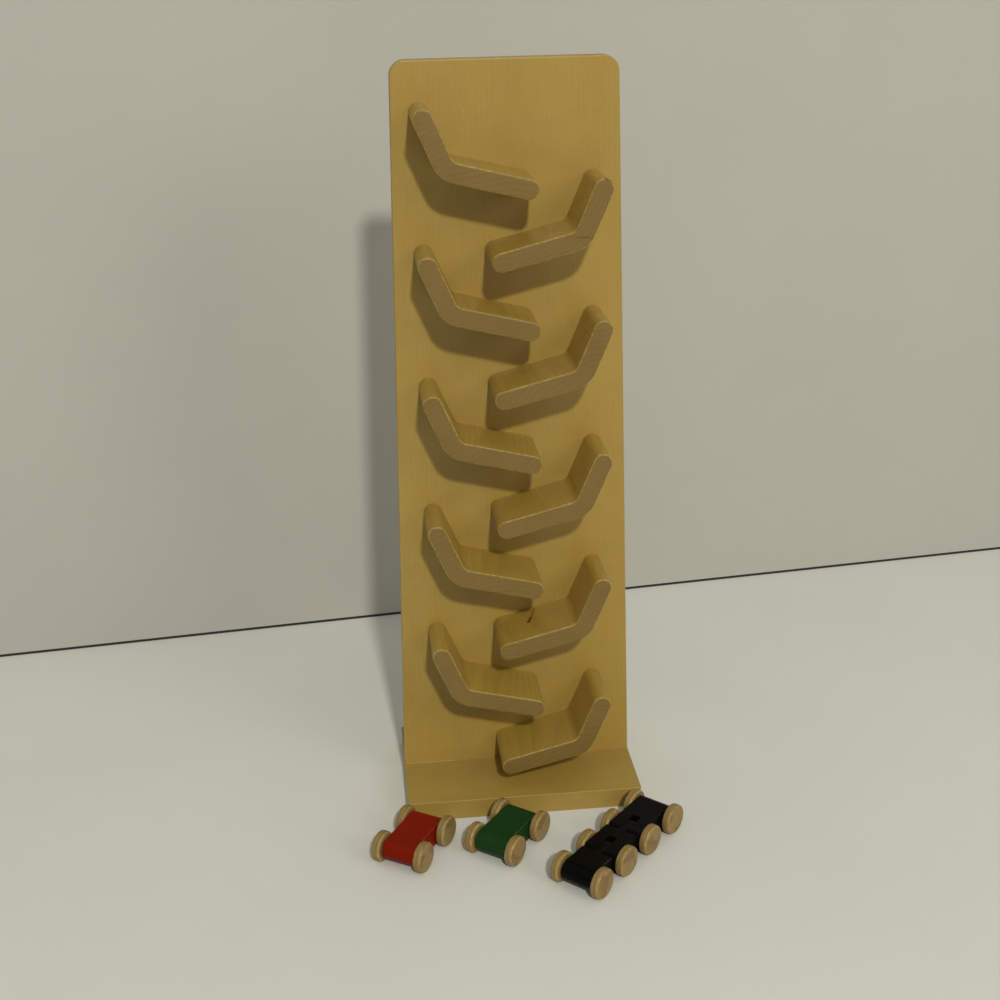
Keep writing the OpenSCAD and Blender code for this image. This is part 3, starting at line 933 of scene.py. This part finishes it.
class TRACK_OT_board(bpy.types.Operator):
    """Builds the leaning board with round top corners and countersunk holes behind"""

    bl_idname = "track.board"
    bl_label = "Board"

    def execute(self, context):
        tower = settings("tower")
        wood = settings("wood")
        screw = settings("screw")
        lo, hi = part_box("board")
        half = (hi[0] - lo[0]) / 2
        bm = box_shape((-half, -tower.groove, -tower.board_thick), (half, tower.board_height, 0))
        for vert in bm.verts:
            if vert.co.y > 0:
                vert.co.x = math.copysign(tower.board_top / 2, vert.co.x)
        tops = upright_edges(edges_at(bm, 1, tower.board_height))
        round_edges(bm, tops, tower.corner, CORNER_STEPS)
        sides = sharp_edges(edges_at(bm, 2, 0.0) + edges_at(bm, 2, -tower.board_thick))
        sides = [e for e in sides if max(v.co.y for v in e.verts) > 0]
        round_edges(bm, sides, tower.ease, EASE_STEPS)
        move(bm, tower_matrix())
        holes = [screw_hole(screw.ramp_length, place) for place in ramp_screw_places()]
        holes += [screw_hole(screw.base_length, place) for place in base_screw_places()]
        bm = cut(bm, holes)
        heart = tower_matrix() @ Matrix.Translation((HEART_BESIDE, 0, -HEART_BEHIND))
        grain = heart @ Matrix.Rotation(-math.pi / 2, 4, "X")
        material = wood_material(
            "board wood", grain, wood.board_pale, wood.board_deep, rings=0.22,
            marks=seam_marks(), flat=tower_matrix().col[2].xyz, rubbed_and_highlighted=0.35,
        )
        new_piece("board_plank", bm, "tower", ["board"], material)
        return {"FINISHED"}


class TRACK_OT_ramps(bpy.types.Operator):
    """Builds the ten bent ramps, each with its own grain"""

    bl_idname = "track.ramps"
    bl_label = "Ramps"

    def execute(self, context):
        ramp = settings("ramp")
        wood = settings("wood")
        screw = settings("screw")
        arms = ((-ramp.run_slope, ramp.run_length), (math.pi - ramp.rise_slope, ramp.rise_length))
        places = ramp_screw_places()
        for index, name in enumerate(RAMPS):
            bm = round_strip(0.0, ramp.depth, ramp.thick, ramp.edge, False, *arms, ramp.bend)
            move(bm, ramp_matrix(index))
            face_out(bm)
            holes = [screw_hole(screw.ramp_length, place) for place in places[2 * index:2 * index + 2]]
            bm = cut(bm, holes)
            swing = 0.9 + 2.1 * index
            far = 0.085 + 0.03 * math.sin(1.7 * swing)
            centre = Vector((0.05 * math.cos(swing), far if index % 3 else -far, 0.0))
            tilt = Matrix.Rotation(0.05 * math.sin(3.1 * swing), 4, "X")
            tilt = tilt @ Matrix.Rotation(0.06 * math.cos(swing), 4, "Y")
            grain = Matrix.Translation(ramp_matrix(index).translation) @ tower_turn()
            grain = grain @ Matrix.Translation(centre) @ tilt
            material = wood_material(
                name + " wood", grain, wood.ramp_pale, wood.ramp_deep, (wood.end_pale, wood.end_deep),
                spacing=0.0030 + 0.0006 * math.sin(swing), wander=0.010, rings=0.4,
                marks=self.marks(name, ramp_matrix(index)),
            )
            new_piece(name + "_strip", bm, "tower", [name], material)
        return {"FINISHED"}

    def marks(self, name, matrix):
        """A knot on one ramp and a fine crack with a chip on another, as the wood has them."""
        ramp = settings("ramp")
        knot = settings("wood").knot
        run = Vector((math.cos(ramp.run_slope), -math.sin(ramp.run_slope), 0))
        rise = Vector((-math.cos(ramp.rise_slope), math.sin(ramp.rise_slope), 0))
        above = Vector((math.sin(ramp.run_slope), math.cos(ramp.run_slope), 0)) * (ramp.thick / 2)
        out = Vector((0, 0, 1))
        if name == "ramp_right_4":
            start = matrix @ (run * 0.0262 + above + out * 0.002)
            middle = matrix @ (run * 0.0305 + above + out * 0.015)
            blob = matrix @ (run * 0.0330 + above + out * 0.021)
            return [
                (start, middle, 0.0002, 0.0006, knot, 0.75),
                (middle, blob, 0.0006, 0.0009, knot, 0.9),
            ]
        if name == "ramp_right_1":
            inner = matrix @ (Vector((-0.004, 0.0015, 0)) + out * ramp.depth)
            outer = matrix @ (Vector((0.003, 0.0015, 0)) + out * ramp.depth)
            tip = rise * (ramp.rise_length + 0.47 * ramp.thick) + out * (ramp.depth - 0.0006)
            side = Vector((rise.y, -rise.x, 0)) * 0.002
            return [
                (inner, outer, 0.0001, 0.0004, knot, 0.7),
                (matrix @ (tip - side), matrix @ (tip + side), 0.0004, 0.0005, knot, 0.85),
            ]
        return []


class TRACK_OT_screws(bpy.types.Operator):
    """Builds the screws behind the board and under the base"""

    bl_idname = "track.screws"
    bl_label = "Screws"

    def execute(self, context):
        screw = settings("screw")
        material = steel_material("screw steel")
        groups = (
            ("ramp_screw_set", screw.ramp_length, ramp_screw_places(), "ramp_screws"),
            ("base_screw_set", screw.base_length, base_screw_places(), "base_screws"),
        )
        for name, length_value, places, node_name in groups:
            one = bpy.data.meshes.new("one screw")
            shape = screw_shape(length_value)
            shape.to_mesh(one)
            shape.free()
            bm = bmesh.new()
            for index, place in enumerate(places):
                before = set(bm.verts)
                bm.from_mesh(one)
                fresh = [v for v in bm.verts if v not in before]
                turned = place @ Matrix.Rotation(SCREW_TURN * index, 4, "Z")
                bmesh.ops.transform(bm, matrix=turned, verts=fresh)
            bpy.data.meshes.remove(one)
            new_piece(name, bm, "tower", [node_name], material)
        return {"FINISHED"}


def axle_bore(matrix, place):
    """A running hole for an axle right across a body."""
    car = settings("car")
    bm = bmesh.new()
    radius = car.axle / 2 + car.axle_slack
    reach = car.body_width
    turned = matrix @ Matrix.Translation((place, 0, 0)) @ Matrix.Rotation(BORE_TURN, 4, "Z")
    lathe(bm, [(0, -reach), (radius, -reach), (radius, reach), (0, reach)], turned, BORE_STEPS)
    return bm


class TRACK_OT_short_bodies(bpy.types.Operator):
    """Builds the one-piece bodies of the red and the green car"""

    bl_idname = "track.short_bodies"
    bl_label = "Short car bodies"

    def execute(self, context):
        car = settings("car")
        paint = settings("paint")
        for colour_name in ("red", "green"):
            matrix = car_matrix(colour_name + "_rear_spin")
            front = axle_offset(matrix, colour_name + "_front_spin")
            half = -front / 2
            bm = round_strip(
                -car.body_width / 2, car.body_width / 2, car.body_thick, car.edge, True,
                (0.0, half), (math.pi, half), 0.0,
            )
            bm = cut(bm, [axle_bore(Matrix(), half), axle_bore(Matrix(), -half)])
            move(bm, matrix @ Matrix.Translation((-half, 0, 0)))
            grain = matrix @ Matrix.Rotation(math.pi / 2, 4, "Y")
            material = paint_material(colour_name + " paint", grain, getattr(paint, colour_name))
            new_piece(
                colour_name + "_bar", bm, colour_name + "_car",
                [colour_name + "_body"], material,
            )
        return {"FINISHED"}


def block_profile(bm, start, start_radius, end, end_round):
    """Side outline of a block: a start rounded about one axle, run to a flat or a round end."""
    car = settings("car")
    half = car.body_thick / 2
    place = Matrix.Translation((start, 0, 0))
    bmesh.ops.create_circle(bm, cap_ends=True, radius=start_radius, segments=BLOCK_STEPS, matrix=place)
    cuts = [((0, half, 0), (0, 1, 0)), ((0, -half, 0), (0, -1, 0)), ((start, 0, 0), (1, 0, 0))]
    for spot, outward in cuts:
        if abs(start_radius - half) < CLOSE and outward[1]:
            continue
        bmesh.ops.bisect_plane(
            bm, geom=everything(bm), plane_co=spot, plane_no=outward, clear_outer=True, dist=TINY
        )
    drawn = bmesh.ops.extrude_edge_only(bm, edges=edges_at(bm, 0, start))["geom"]
    bmesh.ops.translate(bm, vec=(end - start, 0, 0), verts=only(bmesh.types.BMVert, drawn))
    if end_round:
        place = Matrix.Translation((end, 0, 0))
        tail = bmesh.ops.create_circle(
            bm, cap_ends=True, radius=half, segments=BLOCK_STEPS, matrix=place
        )
        tail_faces = list({f for v in tail["verts"] for f in v.link_faces})
        tail_edges = list({e for f in tail_faces for e in f.edges})
        bmesh.ops.bisect_plane(
            bm, geom=tail["verts"] + tail_edges + tail_faces, plane_co=(end, 0, 0), plane_no=(-1, 0, 0),
            clear_outer=True, dist=TINY,
        )
    bmesh.ops.remove_doubles(bm, verts=bm.verts[:], dist=CLOSE)
    bmesh.ops.dissolve_faces(bm, faces=bm.faces[:], use_verts=False)


def block_shape(start, start_radius, end, end_round, width, ease):
    """A block with the side outline above, spread over a width, with eased sides."""
    bm = bmesh.new()
    block_profile(bm, start, start_radius, end, end_round)
    bmesh.ops.translate(bm, vec=(0, 0, -width / 2), verts=bm.verts[:])
    carry(bm, bm.faces[:], (0, 0, width))
    face_out(bm)
    rims = sharp_edges(edges_where(bm, lambda co: abs(abs(co.z) - width / 2) < TINY))
    if not end_round:
        rims += [e for e in edges_at(bm, 0, end) if e not in rims]
    round_edges(bm, rims, ease, EASE_STEPS)
    return bm


class TRACK_OT_jointed_bodies(bpy.types.Operator):
    """Builds the three hinged blocks of the black car"""

    bl_idname = "track.jointed_bodies"
    bl_label = "Jointed car bodies"

    def execute(self, context):
        car = settings("car")
        paint = settings("paint")
        matrix = car_matrix("black_spin_4")
        axles = [axle_offset(matrix, "black_spin_" + str(i)) for i in (1, 2, 3, 4)]
        half = car.body_thick / 2
        shoulder = car.fork_reach + car.shoulder_gap
        slot_half = car.tongue / 2 + car.tongue_gap
        plans = (
            ("front", axles[0], half, axles[1] - shoulder, False, None, axles[1]),
            ("middle", axles[1], car.fork_reach, axles[2] - shoulder, False, axles[1], axles[2]),
            ("rear", axles[2], car.fork_reach, axles[3], True, axles[2], None),
        )
        grain = matrix @ Matrix.Rotation(math.pi / 2, 4, "Y")
        material = paint_material("black paint", grain, paint.black, 0.30)
        for name, start, radius, end, end_round, slot_axle, tongue_axle in plans:
            bm = block_shape(start, radius, end, end_round, car.body_width, car.edge)
            if tongue_axle is not None:
                root = end - half
                middle = (tongue_axle - root) / 2
                tongue = round_strip(
                    -car.tongue / 2, car.tongue / 2, car.body_thick - car.crisp, car.crisp, True,
                    (0.0, middle), (math.pi, middle), 0.0,
                )
                bmesh.ops.translate(tongue, vec=(root + middle, 0, 0), verts=tongue.verts[:])
                keep = bmesh.ops.bisect_plane(
                    tongue, geom=everything(tongue), plane_co=(root, 0, 0), plane_no=(-1, 0, 0),
                    clear_outer=True,
                )
                bmesh.ops.edgeloop_fill(tongue, edges=only(bmesh.types.BMEdge, keep["geom_cut"]))
                face_out(tongue)
                bm = cut(bm, [tongue], "UNION")
            cutters = []
            for place in axles:
                if start - half < place < end + half + shoulder:
                    cutters.append(axle_bore(Matrix(), place))
            if slot_axle is not None:
                lo = (slot_axle - 2 * car.fork_reach, -car.body_thick, -slot_half)
                hi = (slot_axle + half + car.slot_gap, car.body_thick, slot_half)
                cutters.append(box_shape(lo, hi))
            bm = cut(bm, cutters)
            move(bm, matrix)
            face_out(bm)
            new_piece(
                "black_" + name + "_block", bm, "black_" + name,
                ["black_" + name + "_body"], material,
            )
        return {"FINISHED"}


def wheel_lines():
    """Outline of a wheel from the middle of its domed face round to its blind bore."""
    car = settings("car")
    radius = car.wheel / 2
    width = car.wheel_width
    dome_radius = (radius * radius + car.dome * car.dome) / (2 * car.dome)
    rim_centre = radius - car.rim
    points = []
    blend_radius = rim_centre + 0.25 * car.rim
    for i in range(RIM_STEPS + 1):
        r = blend_radius * i / RIM_STEPS
        points.append((r, width - dome_radius + math.sqrt(dome_radius * dome_radius - r * r)))
    top = width - car.rim - (width - points[-1][1]) * 0.6
    start = math.acos(min(1.0, (points[-1][0] - rim_centre) / car.rim))
    outer = arc((rim_centre, top), car.rim, start, 0.0, RIM_STEPS)
    points += [(r, min(h, points[RIM_STEPS][1])) for r, h in outer[1:]]
    points += arc((rim_centre, car.rim), car.rim, 0.0, -math.pi / 2, RIM_STEPS)
    bore = car.axle / 2 + car.bore_fit
    eased = 0.0003
    points += [(bore + eased, 0.0), (bore, eased), (bore, car.bore), (0.0, car.bore)]
    return points


class TRACK_OT_wheels(bpy.types.Operator):
    """Builds the sixteen turned wheels, each with its own grain"""

    bl_idname = "track.wheels"
    bl_label = "Wheels"

    def execute(self, context):
        car = settings("car")
        wood = settings("wood")
        plans = []
        for stem in ("red_front", "red_rear", "green_front", "green_rear"):
            for side in ("left", "right"):
                plans.append((stem + "_" + side + "_wheel", stem + "_spin", stem + "_wheels"))
        for number in "1234":
            for side in ("left", "right"):
                name = "black_" + side + "_wheel_" + number
                plans.append((name, "black_spin_" + number, "black_wheels_" + number))
        for index, (name, joint_name, body) in enumerate(plans):
            joint = joint_named(joint_name)
            axles = Vector(joint["axis"]).normalized()
            node_lo, node_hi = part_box(name)
            middle = (Vector(node_lo) + Vector(node_hi)) / 2
            outward = axles if (middle - Vector(joint["pos_m"])).dot(axles) > 0 else -axles
            side_way = Vector((0, 0, 1)).cross(outward)
            inner = Vector(joint["pos_m"]) + outward * (car.body_width / 2 + car.wheel_gap)
            matrix = axes_matrix(inner, side_way, outward.cross(side_way), outward)
            bm = bmesh.new()
            lathe(bm, wheel_lines(), matrix, WHEEL_STEPS)
            roll = 0.7 + WHEEL_TURN * index
            heart = Matrix.Translation((0.004 * math.sin(5 * roll), 0, -0.03))
            grain = matrix @ Matrix.Rotation(roll, 4, "Z") @ heart
            grain = grain @ Matrix.Rotation(math.pi / 2 + 0.08 * math.sin(3 * roll), 4, "Y")
            spots = []
            if name == "black_right_wheel_3":
                spot = matrix @ Vector((-0.003, 0.0036, car.wheel_width))
                spots = [(spot, spot + side_way * 0.0004, 0.0006, 0.0006, wood.knot, 0.8)]
            material = wood_material(
                name + " wood", grain, wood.wheel_pale, wood.wheel_deep, spacing=0.0026,
                wander=0.006, rough=0.48, coat=0.12, rings=0.85, marks=spots, flat=outward, rubbed_and_highlighted=0.4,
            )
            new_piece(name + "_disc", bm, body, [name], material)
        return {"FINISHED"}


class TRACK_OT_axles(bpy.types.Operator):
    """Gives the dowel axles of the frame their plain wood"""

    bl_idname = "track.axles"
    bl_label = "Axles"

    def execute(self, context):
        dowel = settings("wood").dowel
        joints = [j for j in frame["joints"] if "_spin" in j["name"]]
        names = ("red_front_axle", "red_rear_axle", "green_front_axle", "green_rear_axle")
        names += tuple("black_axle_" + str(i) for i in (1, 2, 3, 4))
        for name, joint in zip(names, joints):
            turn = Vector(joint["axis"]).to_track_quat("Z", "Y").to_matrix().to_4x4()
            grain = Matrix.Translation(Vector(joint["pos_m"])) @ turn
            material = wood_material(
                name + " wood", grain, dowel, dimmed(dowel, 0.7), rings=0.4, coat=0.0
            )
            node_object = frame["nodes"][name]
            node_object.data.materials.clear()
            node_object.data.materials.append(material)
        return {"FINISHED"}


class TRACK_OT_stage(bpy.types.Operator):
    """Sets the pale floor and wall, the lamps and the camera"""

    bl_idname = "track.stage"
    bl_label = "Stage"

    def execute(self, context):
        stage = settings("stage")
        scene = context.scene
        scene.view_settings.view_transform = "Standard"
        floor = self.sheet("floor", Matrix(), stage.floor)
        turn = Matrix.Rotation(stage.wall_turn, 4, "Z") @ Matrix.Rotation(math.pi / 2, 4, "X")
        wall = self.sheet("wall", Matrix.Translation((0, stage.wall_place, 0)) @ turn, stage.wall)
        # A thin dark strip just in front of the wall's foot: painted shade for the shadow in the gap under
        # the wall
        low = Matrix.Translation((0, stage.wall_place - 0.001, stage.gap / 2)) @ turn
        narrow = Matrix.Diagonal((1, stage.gap / SHEET, 1, 1))
        gap = self.sheet("wall_gap", low @ narrow, stage.gap_colour)
        self.lamps(scene, stage)
        self.camera(scene, stage)
        return {"FINISHED"}

    def sheet(self, name, matrix, colour):
        """A large flat sheet with a faint mottle, clear when seen from behind."""
        bm = bmesh.new()
        bmesh.ops.create_grid(bm, x_segments=1, y_segments=1, size=SHEET / 2, matrix=matrix)
        mesh = bpy.data.meshes.new(name)
        bm.to_mesh(mesh)
        bm.free()
        material, tree, shader = new_material(name)
        vector = placed_vector(tree, Matrix())
        mottled = noise(tree, vector, 7.0, 4.0, 0.55)
        base = blend(tree, stretch(tree, mottled, 0.3, 0.7), colour, dimmed(colour, 0.975))
        feed_named(tree, shader, {"Base Color": base, "Roughness": 0.65})
        bump(tree, shader, noise(tree, vector, 600.0, 3.0), 0.08, 0.0002)
        shape = tree.nodes.new("ShaderNodeNewGeometry")
        clear = tree.nodes.new("ShaderNodeBsdfTransparent")
        choice = tree.nodes.new("ShaderNodeMixShader")
        feed_first(tree, choice, shape.outputs["Backfacing"], shader.outputs[0], clear.outputs[0])
        end = next(n for n in tree.nodes if n.type == "OUTPUT_MATERIAL")
        tree.links.new(choice.outputs[0], end.inputs["Surface"])
        mesh.materials.append(material)
        made = bpy.data.objects.new(name, mesh)
        bpy.context.scene.collection.objects.link(made)
        return made

    def lamps(self, scene, stage):
        """A small key lamp ahead, a broad lamp on the right and an even light all round."""
        aim = Vector((0.0, -0.01, 0.25))
        for name in ("key", "side"):
            bearing = getattr(stage, name + "_bearing")
            height = getattr(stage, name + "_height")
            distance = getattr(stage, name + "_distance")
            flat = math.cos(height) * distance
            rise = math.sin(height) * distance
            place = aim + Vector((flat * math.sin(bearing), -flat * math.cos(bearing), rise))
            lamp = bpy.data.lights.new(name, "AREA")
            lamp.shape = "DISK"
            lamp.size = getattr(stage, name + "_size")
            lamp.energy = getattr(stage, name + "_power")
            lamp.color = stage.lamp_colour
            made = bpy.data.objects.new(name, lamp)
            made.location = place
            made.rotation_euler = (aim - place).to_track_quat("-Z", "Y").to_euler()
            scene.collection.objects.link(made)
        world = bpy.data.worlds.new("even light")
        scene.world = world
        world.use_nodes = True
        tree = world.node_tree
        shade = tree.nodes["Background"]
        shade.inputs["Color"].default_value = (*stage.fill_colour, 1.0)
        coords = tree.nodes.new("ShaderNodeTexCoord")
        parts = tree.nodes.new("ShaderNodeSeparateXYZ")
        tree.links.new(coords.outputs["Generated"], parts.inputs[0])
        high = stretch(tree, parts.outputs["Z"], 0.0, 0.9, stage.fill_low, stage.fill_high)
        tree.links.new(high, shade.inputs["Strength"])

    def camera(self, scene, stage):
        """The camera at the photograph's place."""
        flat = math.cos(stage.pitch)
        ahead = Vector((math.sin(stage.yaw) * flat, math.cos(stage.yaw) * flat, -math.sin(stage.pitch)))
        right = Vector((math.cos(stage.yaw), -math.sin(stage.yaw), 0))
        up = right.cross(ahead)
        rolled = math.cos(stage.roll) * right + math.sin(stage.roll) * up
        upright = math.cos(stage.roll) * up - math.sin(stage.roll) * right
        data = bpy.data.cameras.new("camera")
        data.lens = stage.lens
        data.sensor_width = 36.0
        data.clip_start = 0.05
        data.dof.use_dof = False
        made = bpy.data.objects.new("camera", data)
        made.matrix_world = axes_matrix(Vector(stage.camera_place), rolled, upright, -ahead)
        scene.collection.objects.link(made)
        scene.camera = made


class TRACK_PT_sidebar(bpy.types.Panel):
    """Buttons for every group of pieces"""

    bl_idname = "TRACK_PT_sidebar"
    bl_label = "Click clack track"
    bl_space_type = "VIEW_3D"
    bl_region_type = "UI"
    bl_category = "Track"

    def draw(self, context):
        for operator in OPERATORS:
            self.layout.operator(operator.bl_idname)


GROUPS = {
    "tower": TowerSettings,
    "ramp": RampSettings,
    "screw": ScrewSettings,
    "car": CarSettings,
    "wood": WoodSettings,
    "paint": PaintSettings,
    "stage": StageSettings,
}
OPERATORS = (
    TRACK_OT_base,
    TRACK_OT_board,
    TRACK_OT_ramps,
    TRACK_OT_screws,
    TRACK_OT_short_bodies,
    TRACK_OT_jointed_bodies,
    TRACK_OT_wheels,
    TRACK_OT_axles,
    TRACK_OT_stage,
)


def register():
    """Registers the settings, the operators and the panel."""
    for group in GROUPS.values():
        bpy.utils.register_class(group)
    for operator in OPERATORS:
        bpy.utils.register_class(operator)
    bpy.utils.register_class(TRACK_PT_sidebar)
    for name, group in GROUPS.items():
        setattr(bpy.types.Scene, "track_" + name, PointerProperty(type=group))


def unregister():
    """Takes everything back out."""
    for name in GROUPS:
        delattr(bpy.types.Scene, "track_" + name)
    bpy.utils.unregister_class(TRACK_PT_sidebar)
    for operator in reversed(OPERATORS):
        bpy.utils.unregister_class(operator)
    for group in reversed(list(GROUPS.values())):
        bpy.utils.unregister_class(group)


def main():
    """Builds every piece and the stage."""
    register()
    bpy.ops.track.base()
    bpy.ops.track.board()
    bpy.ops.track.ramps()
    bpy.ops.track.screws()
    bpy.ops.track.short_bodies()
    bpy.ops.track.jointed_bodies()
    bpy.ops.track.wheels()
    bpy.ops.track.axles()
    bpy.ops.track.stage()


if __name__ == "__main__":
    main()
